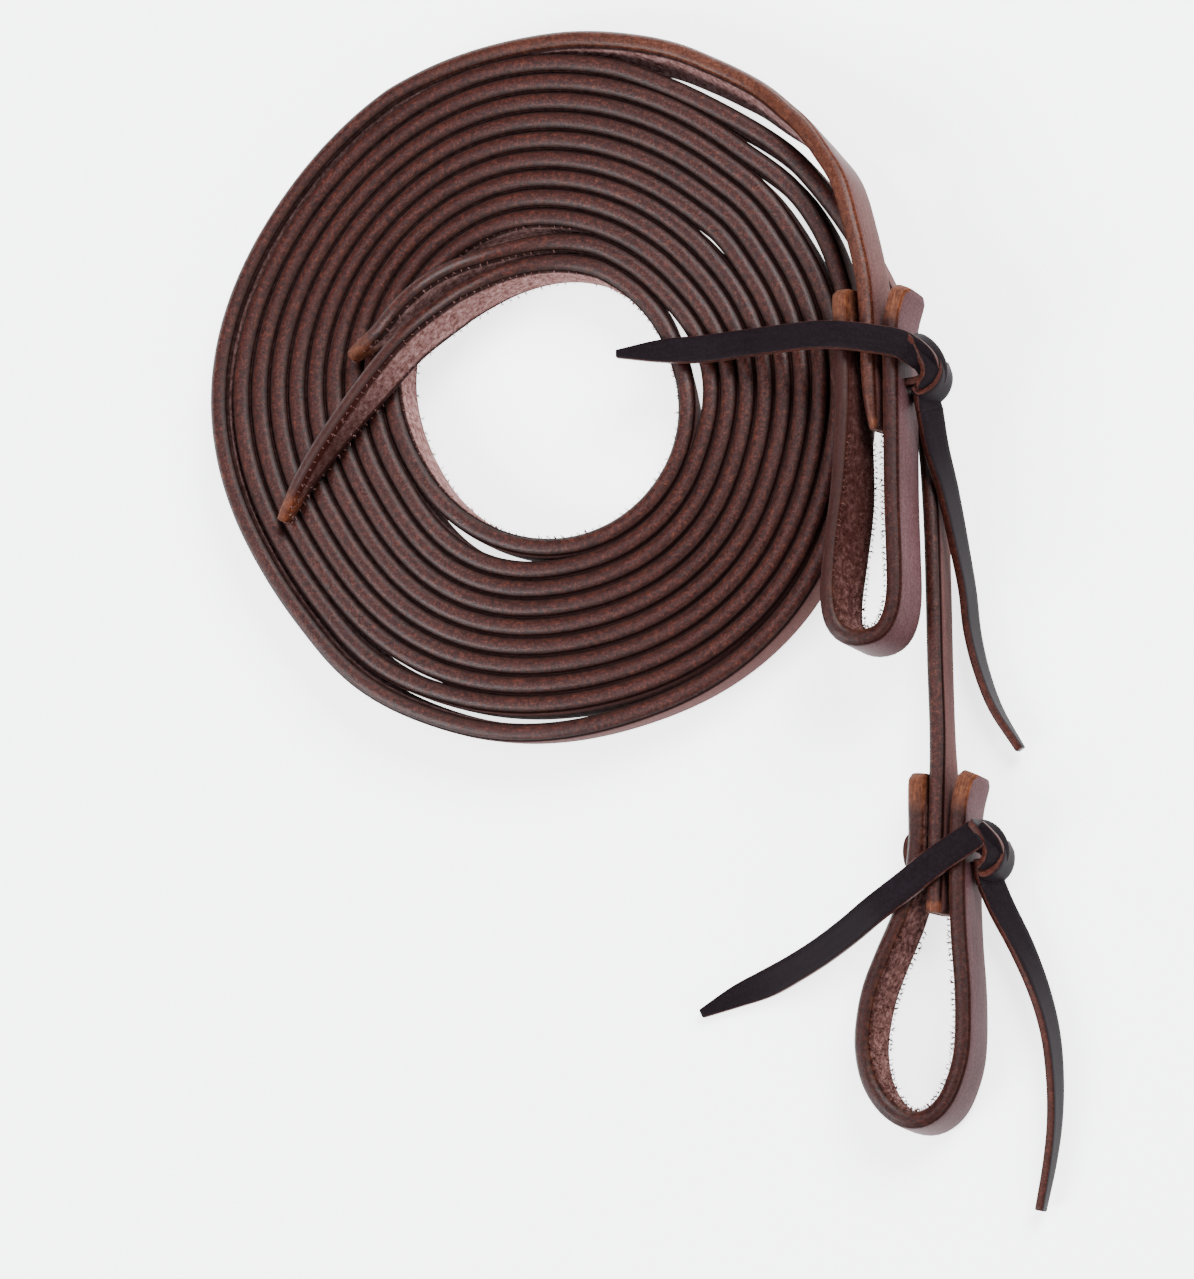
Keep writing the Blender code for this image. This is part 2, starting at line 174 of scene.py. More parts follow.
UPPER_KNOT = (
    ((87.7, 64.4, 31.6, -4, 7.6), (89.5, 63.9, 31.2, -26, 7.6), (92.0, 61.1, 30.2, -42, 7.6),
     (93.7, 57.4, 29.2, -44, 7.6), (93.3, 54.0, 28.0, -38, 7.6), (90.9, 51.8, 26.8, -26, 7.2)),
    ((95.0, 58.8, 25.2, -6, 7.2), (95.7, 55.2, 25.2, -12, 7.6), (94.3, 51.8, 25.0, -18, 7.6),
     (91.3, 49.7, 24.8, -20, 7.6), (88.9, 49.6, 24.6, -18, 7.6), (87.6, 51.8, 24.6, -10, 7.4)),
    ((87.2, 61.7, 33.9, 90, 7.6), (89.3, 60.4, 32.8, 84, 7.4), (91.3, 58.6, 30.2, 76, 7.0),
     (92.2, 56.4, 27.0, 66, 6.6)),
    ((84.4, 61.8, 24.4, 0, 6.4), (88.4, 61.6, 25.0, 0, 6.8), (92.2, 60.0, 25.8, 0, 7.2)),
    ((84.4, 53.6, 24.2, 0, 6.4), (88.8, 54.0, 24.6, 0, 6.8), (93.0, 55.6, 25.2, 0, 7.2)),
    ((90.4, 53.0, 24.9, -28, 7.4), (90.7, 49.8, 24.4, -40, 7.6), (91.1, 46.8, 23.5, -48, 7.6)),
    ((70.0, 61.8, HIGH, 0, 6.6), (67.4, 61.4, HIGH, 0, 7.4), (66.3, 59.2, HIGH, 0, 7.6),
     (66.3, 56.0, HIGH, 0, 7.6), (67.4, 53.8, HIGH, 0, 7.4), (70.0, 53.6, HIGH, 0, 6.6)),
)

# Half a strap section, from the middle of the flesh face over the edge to the grain face:
# depth as a share of half the thickness, drop from the edge in mm, how much of an edge it is
STRAP_EDGE = (
    (-1.04, 4.60, 0.0), (-1.03, 3.30, 0.0), (-1.00, 2.20, 0.16), (-0.95, 1.60, 0.35),
    (-0.83, 0.96, 0.8), (-0.64, 0.46, 1.0), (-0.38, 0.14, 1.0), (-0.06, 0.00, 1.0),
    (0.26, 0.06, 1.0), (0.54, 0.32, 1.0), (0.76, 0.76, 1.0), (0.90, 1.32, 0.8),
    (0.98, 1.95, 0.35), (1.00, 2.60, 0.0), (1.04, 4.80, 0.0),
)
LACE_EDGE = (
    (-1.00, 1.40, 0.0), (-1.00, 0.36, 0.0), (-0.86, 0.08, 0.7), (-0.55, 0.00, 1.0),
    (0.0, 0.02, 1.0), (0.55, 0.00, 1.0), (0.86, 0.12, 0.7), (1.00, 0.45, 0.0),
    (1.00, 1.60, 0.0),
)

# Distance between two rows of a swept piece
WOUND_ROW, END_ROW, LOOP_ROW, TAIL_ROW, KNOT_ROW = 2.4, 1.6, 1.5, 0.9, 0.7

# Pieces of a smooth curve between two rows of a table
TIP_PIECES, END_PIECES, LOOP_PIECES, LACE_PIECES = 8, 12, 6, 8

# Loose fibres: the two shares of the strap they stand between, how many, and the longest
TIP_FUZZ = ((0.0, 0.03), 120, 1.3)
HOLE_FUZZ = ((0.0, 0.17), 1100, 1.1)
LOOP_FUZZ = ((0.20, 0.81), 1100, 1.35)

# How each loop tips over: lean of its left leg, its right leg and its bend. Its left leg has
# rolled over further near a place: y, reach either way and lean. Last, how much darker its left
# leg is near its ear end: oil on the lower loop, painted shade on the upper one.
LOWER_TIP, LOWER_ROLL, LOWER_OILED = (8.0, 8.0, 7.0), (-105.0, 30.0, 3.0), 0.2
UPPER_TIP, UPPER_ROLL, UPPER_PAINTED_SHADE = (15.0, 11.0, 7.0), (14.0, 36.0, 12.0), 0.75

FLOOR_GLOW = 2.6


def spot(x, y, z):
    return (Vector((x, y, z)) + PLAN_SHIFT) * MM


# Camera, looking down over the near right-hand side

LOOK_AT = Vector((-9.75, -6.8, 0.0)) * MM
CAMERA_DISTANCE = 1.1
CAMERA_TILT = math.radians(19.5)
CAMERA_TURN = math.radians(-27.0)


def set_camera():
    back = Vector((math.sin(CAMERA_TILT) * math.cos(CAMERA_TURN),
                   math.sin(CAMERA_TILT) * math.sin(CAMERA_TURN), math.cos(CAMERA_TILT)))
    right = Vector((0, 1, 0)).cross(back).normalized()
    up = back.cross(right)
    lens = bpy.data.cameras.new("camera")
    lens.sensor_fit = "HORIZONTAL"
    lens.sensor_width = 36.0
    lens.lens = 119.4
    lens.clip_end = 20.0
    holder = bpy.data.objects.new("camera", lens)
    turn = Matrix((right, up, back)).transposed().to_4x4()
    holder.matrix_world = Matrix.Translation(LOOK_AT + back * CAMERA_DISTANCE) @ turn
    bpy.context.scene.collection.objects.link(holder)
    bpy.context.scene.camera = holder


# Routes

def ease(t):
    """0 before t = 0, 1 after t = 1, smooth between."""
    t = min(max(t, 0.0), 1.0)
    return t * t * (3.0 - 2.0 * t)


def hole_radius(angle):
    return HOLE_RADIUS + HOLE_OVAL * math.cos(2.0 * math.radians(angle - HOLE_OVAL_AT))


def pitch(angle):
    place = (angle % 360.0) / 45.0
    low = int(place) % 8
    share = 0.5 - 0.5 * math.cos(math.pi * (place - int(place)))
    return PITCH_EVERY_45[low] * (1.0 - share) + PITCH_EVERY_45[(low + 1) % 8] * share


def slack(angle, layer):
    room = 0.0
    for first, middle, spread, amount in SLACK:
        away = abs((angle - middle + 180.0) % 360.0 - 180.0)
        if away < spread:
            room += amount * math.cos(0.5 * math.pi * away / spread) ** 2 * ease(layer - first + 1)
    return room


def coil_place(turn, first_layer):
    """Centre of a strap in plan; turn is in degrees, clockwise from +Y."""
    angle = turn % 360.0
    climb = 2.0 * ease((angle - CLIMB_FROM) / (360.0 - CLIMB_FROM))
    layer = first_layer + 2.0 * math.floor(turn / 360.0) + climb
    radius = hole_radius(angle) + pitch(angle) * layer + slack(angle, layer) + STRAP_THICK / 2
    return (COIL_X + radius * math.sin(math.radians(turn)),
            COIL_Y + radius * math.cos(math.radians(turn)))


def coil_lean(turn, first_layer):
    """Rein A leans out along its last turn, and rein B where its first turn stands free."""
    if first_layer:
        return 5.0 * ease((turn - 360.0 * (FULL_TURNS - 1) - 100.0) / 60.0)
    lean = 0.0
    for middle, spread, most in ((80.0, 38.0, 13.0), (262.0, 70.0, 3.0)):
        away = abs(turn - middle) / spread
        if away < 1.0:
            lean += most * math.cos(0.5 * math.pi * away) ** 2
    return lean


def coil_turns(first_layer, last_turn):
    rows = []
    for turn in range(0, last_turn + 1, COIL_STEP):
        x, y = coil_place(turn, first_layer)
        lean = coil_lean(turn, first_layer)
        # rein A pivots on its foot, rein B on its top edge
        out = 0.5 * STRAP_WIDTH * math.sin(math.radians(lean)) * (1.0 if first_layer else -1.0)
        x += out * math.sin(math.radians(turn))
        y += out * math.cos(math.radians(turn))
        rows.append((x, y, LOW, lean, STRAP_WIDTH, pitch(turn) - SNUG))
    return rows


def smooth(route, pieces):
    """Points of a smooth curve through the route, with this many pieces between two points."""
    rows = [Vector(row) for row in route]
    rows = [rows[0] * 2 - rows[1]] + rows + [rows[-1] * 2 - rows[-2]]
    out = []
    for a, b, c, d in zip(rows, rows[1:], rows[2:], rows[3:]):
        for k in range(pieces):
            t = k / pieces
            out.append(tuple(0.5 * (2 * b + (c - a) * t + (2 * a - 5 * b + 4 * c - d) * t * t
                                    + (3 * b - a - 3 * c + d) * t * t * t)))
    return out + [tuple(rows[-2])]


def relax(rows, middle, reach, rounds):
    """Take the kink out of a run of rows around one of them."""
    rows = [Vector(row) for row in rows]
    for _ in range(rounds):
        old = list(rows)
        for i in range(max(middle - reach, 1), min(middle + reach, len(rows) - 1)):
            rows[i] = old[i] * 0.5 + (old[i - 1] + old[i + 1]) * 0.25
    return [tuple(row) for row in rows]


def evened(rows, step):
    """The same route with its rows an even distance apart."""
    rows = [Vector(row) for row in rows]
    runs = [0.0]
    for a, b in zip(rows, rows[1:]):
        runs.append(runs[-1] + (b.xyz - a.xyz).length)
    count = max(2, round(runs[-1] / step))
    out, k = [], 0
    for i in range(count + 1):
        run = runs[-1] * i / count
        while k < len(runs) - 2 and runs[k + 1] < run:
            k += 1
        out.append(tuple(rows[k].lerp(rows[k + 1], (run - runs[k]) / (runs[k + 1] - runs[k]))))
    return out


# Straps and laces, swept

def section(edge, width, thick):
    """Once round the strap: depth, height, edge share; flesh face first, over the top edge."""
    half = width / 2
    upper = [(d * thick / 2, max(half - drop, 0.12 * half), e) for d, drop, e in edge]
    return upper + [(d, -h, e) for d, h, e in reversed(upper)]


def frames(centres):
    out = []
    for i in range(len(centres)):
        along = (centres[min(i + 1, len(centres) - 1)] - centres[max(i - 1, 0)]).normalized()
        left = Vector((0, 0, 1)).cross(along).normalized()
        out.append((along, left, along.cross(left)))
    return out


def swept(name, rows, edge, grain=1, raw_start=0.0, raw_end=0.0, wear_oil_and_shade_at=None):
    """A closed strap through rows of x, y, height, lean, width and thickness.

    grain is the side of the way that the grain face is on: 1 left, -1 right. raw_start and
    raw_end are how far the cut look reaches in from each end; the last argument tells how rubbed
    the strap is at a run, and how much darker it is where it is below 0: oil on rein B's tip and
    the lower bit loop, painted shade on the upper bit loop.
    """
    rows = list(rows)
    centres = [Vector(row[:3]) for row in rows]
    turned = frames(centres)
    runs = [0.0]
    for a, b in zip(centres, centres[1:]):
        runs.append(runs[-1] + (b - a).length)
    # rounded cut ends
    stations = [(i, 1.0, 0.0) for i in range(len(rows))]
    stations[0] = (0, 0.86, -0.25)
    stations[-1] = (len(rows) - 1, 0.86, 0.25)
    stations.insert(1, (0, 1.0, 0.0))
    stations.insert(-1, (len(rows) - 1, 1.0, 0.0))
    corners, side, rim, raw, wear_oil_and_shade, uv = [], [], [], [], [], []
    count = 0
    for i, grow, push in stations:
        along, left, up = turned[i]
        lean, width, thick = rows[i][3:6]
        tilt = math.radians(lean)
        tall = up * math.cos(tilt) + left * math.sin(tilt)
        deep = left * math.cos(tilt) - up * math.sin(tilt)
        shape = section(edge, width, thick)
        count = len(shape)
        girth = 0.0
        for k, (d, h, e) in enumerate(shape):
            if k:
                girth += math.hypot(d - shape[k - 1][0], h - shape[k - 1][1])
            point = centres[i] + (deep * d * grain + tall * h) * grow + along * push
            corners.append(spot(*point))
            side.append(2 * d / thick)
            rim.append(e)
            away = min(runs[i] / raw_start if raw_start else 9.0,
                       (runs[-1] - runs[i]) / raw_end if raw_end else 9.0)
            raw.append(1.0 - ease(away))
            wear_oil_and_shade.append(wear_oil_and_shade_at(runs[i]) if wear_oil_and_shade_at else 0.0)
            uv.append((runs[i] * MM, girth * MM))
    faces = []
    for i in range(len(stations) - 1):
        for k in range(count):
            a, b = count * i + k, count * i + (k + 1) % count
            faces.append((a, b, b + count, a + count))
    last = count * (len(stations) - 1)
    faces += [tuple(reversed(range(count))), tuple(range(last, last + count))]
    if grain > 0:
        faces = [tuple(reversed(face)) for face in faces]
    mesh = bpy.data.meshes.new(name)
    mesh.from_pydata(corners, [], faces)
    for label, values in (("side", side), ("rim", rim), ("raw", raw), ("wear_oil_and_shade", wear_oil_and_shade)):
        mesh.attributes.new(label, "FLOAT", "POINT").data.foreach_set("value", values)
    layer = mesh.uv_layers.new(name="strap")
    whole_girth = max(q[1] for q in uv[count:2 * count]) + 0.004
    for face in mesh.polygons:
        wraps = len(face.vertices) == 4 and any(v % count == count - 1 for v in face.vertices) \
            and any(v % count == 0 for v in face.vertices)
        for corner in face.loop_indices:
            v = mesh.loops[corner].vertex_index
            u, w = uv[v]
            if wraps and v % count == 0:
                w = whole_girth
            layer.data[corner].uv = (u, w)
    mesh.shade_smooth()
    mesh.set_sharp_from_angle(angle=math.radians(55))
    piece = bpy.data.objects.new(name, mesh)
    bpy.context.scene.collection.objects.link(piece)
    return piece


def fibres(name, rows, grain, span, count, longest):
    """Loose fibres standing off the flesh face, most of them along its two edges."""
    chance = random.Random(name)
    centres = [Vector(row[:3]) for row in rows]
    turned = frames(centres)
    corners, faces = [], []
    for _ in range(count):
        i = int(chance.uniform(*span) * (len(rows) - 1))
        along, left, up = turned[i]
        lean, width, thick = rows[i][3:6]
        tilt = math.radians(lean)
        tall = up * math.cos(tilt) + left * math.sin(tilt)
        out = (up * math.sin(tilt) - left * math.cos(tilt)) * grain
        high = chance.choice((-1, 1)) * (0.5 * width - 0.9) * (1.0 - chance.random() ** 3)
        root = centres[i] + out * (0.5 * thick - 0.1) + tall * high
        way = (out + along * chance.uniform(-0.9, 0.9) + tall * chance.uniform(-0.5, 0.5))
        way.normalize()
        reach = longest * chance.uniform(0.4, 1.0) ** 1.3
        bow = along * chance.uniform(-0.35, 0.35) * reach
        across = way.cross(tall).normalized()
        other = way.cross(across)
        first = len(corners)
        for share, girth in ((0.0, 0.15), (0.55, 0.12), (1.0, 0.05)):
            middle = root + way * reach * share + bow * share * share
            for k in range(3):
                turn = 2.0 * math.pi * k / 3.0
                corners.append(spot(*(middle + (across * math.cos(turn)
                                                + other * math.sin(turn)) * girth)))
        for ring in (0, 3):
            for k in range(3):
                a, b = first + ring + k, first + ring + (k + 1) % 3
                faces.append((a, b, b + 3, a + 3))
        faces += [(first + 2, first + 1, first), (first + 6, first + 7, first + 8)]
    mesh = bpy.data.meshes.new(name)
    mesh.from_pydata(corners, [], faces)
    for label, value in (("side", -1.0), ("rim", 0.0), ("raw", 0.35), ("wear_oil_and_shade", 0.0)):
        mesh.attributes.new(label, "FLOAT", "POINT").data.foreach_set(
            "value", [value] * len(corners))
    mesh.uv_layers.new(name="strap")
    piece = bpy.data.objects.new(name, mesh)
    bpy.context.scene.collection.objects.link(piece)
    return piece


def joined(name, pieces):
    bpy.ops.object.select_all(action="DESELECT")
    for piece in pieces:
        piece.select_set(True)
    bpy.context.view_layer.objects.active = pieces[0]
    bpy.ops.object.join()
    piece = bpy.context.object
    piece.name = name
    return piece


# Finishes

def attribute(tree, name):
    node = tree.nodes.new("ShaderNodeAttribute")
    node.attribute_name = name
    return node.outputs["Fac"]


def ramp(tree, value, stops):
    node = tree.nodes.new("ShaderNodeValToRGB")
    band = node.color_ramp
    while len(band.elements) < len(stops):
        band.elements.new(0.5)
    for element, (place, colour) in zip(band.elements, stops):
        element.position = place
        element.color = (*colour, 1.0)
    tree.links.new(value, node.inputs["Fac"])
    return node.outputs["Color"]


def shade_of(tree, value, low, high, out_low=0.0, out_high=1.0):
    node = tree.nodes.new("ShaderNodeMapRange")
    node.interpolation_type = "SMOOTHSTEP"
    for name, number in (("From Min", low), ("From Max", high), ("To Min", out_low),
                         ("To Max", out_high)):
        node.inputs[name].default_value = number
    tree.links.new(value, node.inputs["Value"])
    return node.outputs["Result"]


def reckon(tree, kind, a, b):
    node = tree.nodes.new("ShaderNodeMath")
    node.operation = kind
    for socket, value in zip(node.inputs, (a, b)):
        if isinstance(value, (int, float)):
            socket.default_value = value
        else:
            tree.links.new(value, socket)
    return node.outputs[0]


def blended(tree, share, a, b, kind="MIX"):
    node = tree.nodes.new("ShaderNodeMix")
    node.data_type = "RGBA"
    node.blend_type = kind
    sockets = [s for s in node.inputs if s.type == "RGBA"]
    factor = next(s for s in node.inputs if s.type == "VALUE" and s.enabled)
    for socket, value in ((factor, share), (sockets[0], a), (sockets[1], b)):
        if isinstance(value, (int, float)):
            socket.default_value = value
        elif isinstance(value, tuple):
            socket.default_value = (*value, 1.0)
        else:
            tree.links.new(value, socket)
    return next(s for s in node.outputs if s.type == "RGBA")


def noise_of(tree, where, scale, detail, rough, stretch=None):
    if stretch:
        squeeze = tree.nodes.new("ShaderNodeMapping")
        squeeze.inputs["Scale"].default_value = stretch
        tree.links.new(where, squeeze.inputs["Vector"])
        where = squeeze.outputs["Vector"]
    node = tree.nodes.new("ShaderNodeTexNoise")
    node.inputs["Scale"].default_value = scale
    node.inputs["Detail"].default_value = detail
    node.inputs["Roughness"].default_value = rough
    tree.links.new(where, node.inputs["Vector"])
    return node.outputs["Fac"]


def leather(name, edge, flesh, grain, cut, gloss, shine, dirt, fleck=1.0, nap=1.0):
    """One leather: burnished edges, rough flesh face, smooth grain face and raw cut ends.

    edge, flesh, grain and cut are three colours each, dark to light.
    """
    shade = bpy.data.materials.new(name)
    shade.use_nodes = True
    tree = shade.node_tree
    surface = tree.nodes["Principled BSDF"]
    where = tree.nodes.new("ShaderNodeTexCoord")
    place, along = where.outputs["Object"], where.outputs["UV"]
    side, rim, raw, wear_oil_and_shade = (attribute(tree, label) for label in
                              ("side", "rim", "raw", "wear_oil_and_shade"))

    pores = noise_of(tree, place, 1500.0, 4.0, 0.7)
    flecks = noise_of(tree, place, 620.0, 5.0, 0.75)
    cloud = noise_of(tree, place, 55.0, 3.0, 0.55)
    drawn = noise_of(tree, along, 1.0, 3.0, 0.6, (90.0, 900.0, 1.0))
    fibre = noise_of(tree, along, 1.0, 4.0, 0.65, (260.0, 1500.0, 1.0))

    on_face = shade_of(tree, rim, 0.25, 0.75, 1.0, 0.0)
    on_grain = reckon(tree, "MULTIPLY", on_face, shade_of(tree, side, -0.1, 0.1))
    on_flesh = reckon(tree, "MULTIPLY", on_face, shade_of(tree, side, 0.1, -0.1))

    edge_mix = reckon(tree, "ADD", reckon(tree, "MULTIPLY", flecks, 0.45),
                      reckon(tree, "MULTIPLY", pores, 0.55))
    edge_colour = ramp(tree, edge_mix, ((0.34, edge[0]), (0.50, edge[1]), (0.66, edge[2])))
    worn = shade_of(tree, side, -0.35, -0.95, 0.0, 0.75)
    edge_colour = blended(tree, reckon(tree, "MULTIPLY", worn, shade_of(tree, flecks, 0.40, 0.62)),
                          edge_colour, cut[1])
    rubbed_colour = ramp(tree, edge_mix, ((0.36, cut[0]), (0.50, cut[1]), (0.64, cut[2])))
    edge_colour = blended(tree, reckon(tree, "MULTIPLY", wear_oil_and_shade, 0.6), edge_colour, rubbed_colour)
    # painted shade with some darker dye: the edge darkens towards its darkest colour near both
    # faces, where it sits in the gaps between the wound layers
    gap_shade_and_dye = shade_of(tree, reckon(tree, "ABSOLUTE", side, 0.0), 0.36, 0.92, 0.0, dirt)
    gap_shade_and_dye = reckon(tree, "MULTIPLY", gap_shade_and_dye, reckon(tree, "SUBTRACT", 1.0, wear_oil_and_shade))
    edge_colour = blended(tree, gap_shade_and_dye, edge_colour, edge[0])

    flesh_colour = ramp(tree, reckon(tree, "ADD", reckon(tree, "MULTIPLY", flecks, 0.8),
                                     reckon(tree, "MULTIPLY", fibre, 0.2)),
                        ((0.38, flesh[0]), (0.50, flesh[1]), (0.62, flesh[2])))
    grain_colour = ramp(tree, reckon(tree, "ADD", reckon(tree, "MULTIPLY", drawn, 0.25),
                                     reckon(tree, "MULTIPLY", pores, 0.75)),
                        ((0.36, grain[0]), (0.50, grain[1]), (0.64, grain[2])))
    cut_colour = ramp(tree, reckon(tree, "ADD", reckon(tree, "MULTIPLY", flecks, 0.5),
                                   reckon(tree, "MULTIPLY", fibre, 0.5)),
                      ((0.36, cut[0]), (0.50, cut[1]), (0.64, cut[2])))
    cut_share = reckon(tree, "MULTIPLY", raw, reckon(
        tree, "SUBTRACT", 1.0, reckon(tree, "MULTIPLY", on_grain, 0.85)))

    # the flesh face also darkens towards the edge's darkest colour next to its rims, by the same
    # depth as the gap darkening
    under_edge = shade_of(tree, rim, 0.02, 0.16, 0.0, dirt)
    flesh_colour = blended(tree, under_edge, flesh_colour, edge[0])
    colour = blended(tree, on_grain, edge_colour, grain_colour)
    colour = blended(tree, on_flesh, colour, flesh_colour)
    # below 0 the colour darkens towards a dark edge colour: oil on rein B's tip and the lower bit
    # loop, painted shade on the upper bit loop's left leg
    colour = blended(tree, shade_of(tree, wear_oil_and_shade, 0.0, -1.0, 0.0, 0.8), colour, edge[1])
    colour = blended(tree, shade_of(tree, cut_share, 0.15, 0.75), colour, cut_colour)
    uneven = ramp(tree, cloud, ((0.30, (0.72, 0.70, 0.70)), (0.70, (1.0, 1.0, 1.0))))
    colour = blended(tree, 0.8, colour, uneven, "MULTIPLY")
    tree.links.new(colour, surface.inputs["Base Color"])

    rough = reckon(tree, "ADD", reckon(tree, "MULTIPLY", pores, 0.22), gloss - 0.10)
    rough = reckon(tree, "ADD", rough, reckon(tree, "MULTIPLY", on_flesh, 0.34))
    rough = reckon(tree, "ADD", rough, reckon(tree, "MULTIPLY", gap_shade_and_dye, 0.30))
    rough = reckon(tree, "ADD", rough, reckon(tree, "MULTIPLY", cut_share, 0.40))
    tree.links.new(rough, surface.inputs["Roughness"])

    rise = reckon(tree, "ADD", reckon(tree, "MULTIPLY", pores, 0.35 * fleck),
                  reckon(tree, "MULTIPLY", flecks, 0.55 * fleck))
    rise = reckon(tree, "ADD", rise, reckon(tree, "MULTIPLY", reckon(
        tree, "MULTIPLY", on_flesh, fibre), 1.1 * nap))
    rise = reckon(tree, "ADD", rise, reckon(tree, "MULTIPLY", reckon(
        tree, "MULTIPLY", cut_share, fibre), 2.4))
    rise = reckon(tree, "MULTIPLY", rise, reckon(
        tree, "SUBTRACT", 1.0, reckon(tree, "MULTIPLY", on_grain, 0.82)))
    bump = tree.nodes.new("ShaderNodeBump")
    bump.inputs["Distance"].default_value = 0.00035
    bump.inputs["Strength"].default_value = 0.8
    tree.links.new(rise, bump.inputs["Height"])
    tree.links.new(bump.outputs["Normal"], surface.inputs["Normal"])
    surface.inputs["IOR"].default_value = shine
    surface.inputs["Sheen Weight"].default_value = 0.02
    surface.inputs["Sheen Roughness"].default_value = 0.5
    surface.inputs["Sheen Tint"].default_value = (1.0, 0.86, 0.86, 1.0)
    return shade


REIN_FINISH = dict(
    edge=((0.0040, 0.0009, 0.0007), (0.025, 0.0048, 0.0032), (0.090, 0.0225, 0.0130)),
    flesh=((0.080, 0.031, 0.027), (0.190, 0.096, 0.088), (0.32, 0.195, 0.185)),
    grain=((0.044, 0.015, 0.0135), (0.070, 0.027, 0.024), (0.100, 0.045, 0.040)),
    cut=((0.030, 0.007, 0.0035), (0.080, 0.021, 0.009), (0.14, 0.045, 0.021)), gloss=0.33)
LOOP_FINISH = dict(
    edge=((0.0040, 0.0009, 0.0007), (0.021, 0.0045, 0.0032), (0.052, 0.0130, 0.0085)),
    flesh=((0.026, 0.0075, 0.0058), (0.090, 0.034, 0.029), (0.20, 0.100, 0.090)),
    grain=((0.036, 0.013, 0.0135), (0.056, 0.024, 0.026), (0.080, 0.038, 0.042)),
    cut=((0.034, 0.008, 0.0035), (0.090, 0.026, 0.011), (0.16, 0.055, 0.026)), gloss=0.33)
LACE_FINISH = dict(
    edge=((0.010, 0.0020, 0.0014), (0.035, 0.008, 0.005), (0.085, 0.022, 0.013)),
    flesh=((0.008, 0.0022, 0.0018), (0.020, 0.0055, 0.004), (0.045, 0.015, 0.011)),
    grain=((0.0030, 0.0014, 0.0022), (0.0052, 0.0026, 0.0040), (0.0085, 0.0050, 0.0072)),
    cut=((0.010, 0.0020, 0.0014), (0.035, 0.008, 0.005), (0.085, 0.022, 0.013)), gloss=0.44)


def finishes(name, colours, shine, grain_shine, **more):
    """The leather twice: as it shines on its rubbed edges, and dull on its two faces."""
    return (leather(name, shine=shine, **colours, **more),
            leather(name + "_dull_face", shine=grain_shine, **colours, **more))


def dress(piece, finish):
    piece.data.materials.clear()
    if not isinstance(finish, tuple):
        piece.data.materials.append(finish)
        return
    for surface in finish:
        piece.data.materials.append(surface)
    side = piece.data.attributes["side"].data
    for face in piece.data.polygons:
        matt = all(side[v].value > 0.7 for v in face.vertices) or \
            all(side[v].value < -0.8 for v in face.vertices)
        face.material_index = 1 if matt else 0


# Reins

def rein_route(tip, first_layer, last_turn, end, split, reach, rounds):
    """A rein's rows from its tip to its bit end, and the row where the bit end splits off."""
    end = smooth(end, END_PIECES)
    coil = smooth(tip, TIP_PIECES)[:-1] + coil_turns(first_layer, last_turn)
    coil = relax(coil, (len(tip) - 1) * TIP_PIECES, reach, rounds)
    rows = relax(coil + end[1:], len(coil), 8, 20)
    return rows, len(rows) - (len(end) - split * END_PIECES)


def wound_wear(letter, run, total):
    """Rein A is rubbed lighter as it leaves the coil; rein B's tip is dark with oil."""
    if letter == "a":
        return ease((run - total + RUB_IN) / RUB_IN)
    return ease((run - 15.0) / 70.0) - 1.0


def end_wear(letter, run):
    """Rein A's bit end is rubbed too, less so inside its loop."""
    return 1.0 - 0.6 * ease((run - 60.0) / 40.0) if letter == "a" else 0.0


def make_reins(finish):
    route_a = rein_route(TIP_A, 1, 360 * FULL_TURNS - 10, END_A, SPLIT_A, 10, 40)
    route_b = rein_route(TIP_B, 0, 360 * FULL_TURNS + 30, END_B, SPLIT_B, 12, 60)
    for letter, (rows, cut), fuzz_name, fuzz, body in (
            ("a", route_a, "tip_fuzz", TIP_FUZZ, "upper_bit_end"),
            ("b", route_b, "hole_fuzz", HOLE_FUZZ, "lower_bit_end")):
        wound, free = evened(rows[:cut + 1], WOUND_ROW), evened(rows[cut:], END_ROW)
        total = (len(wound) - 1) * WOUND_ROW
        coil = swept("rein_" + letter + "_wound", wound, STRAP_EDGE, raw_start=14.0,
                     wear_oil_and_shade_at=lambda run: wound_wear(letter, run, total))
        coil = joined(coil.name, (coil, fibres(fuzz_name, wound, 1, *fuzz)))
        dress(coil, finish)
        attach(coil, "coil")
        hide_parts("rein_" + letter + "_coil")
        bit_end = swept("rein_" + letter + "_bit_strap", free, STRAP_EDGE, raw_end=5.0,
                        wear_oil_and_shade_at=lambda run: end_wear(letter, run))
        dress(bit_end, finish)
        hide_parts("rein_" + letter + "_bit_end")
        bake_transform(bit_end)


# Bit loops

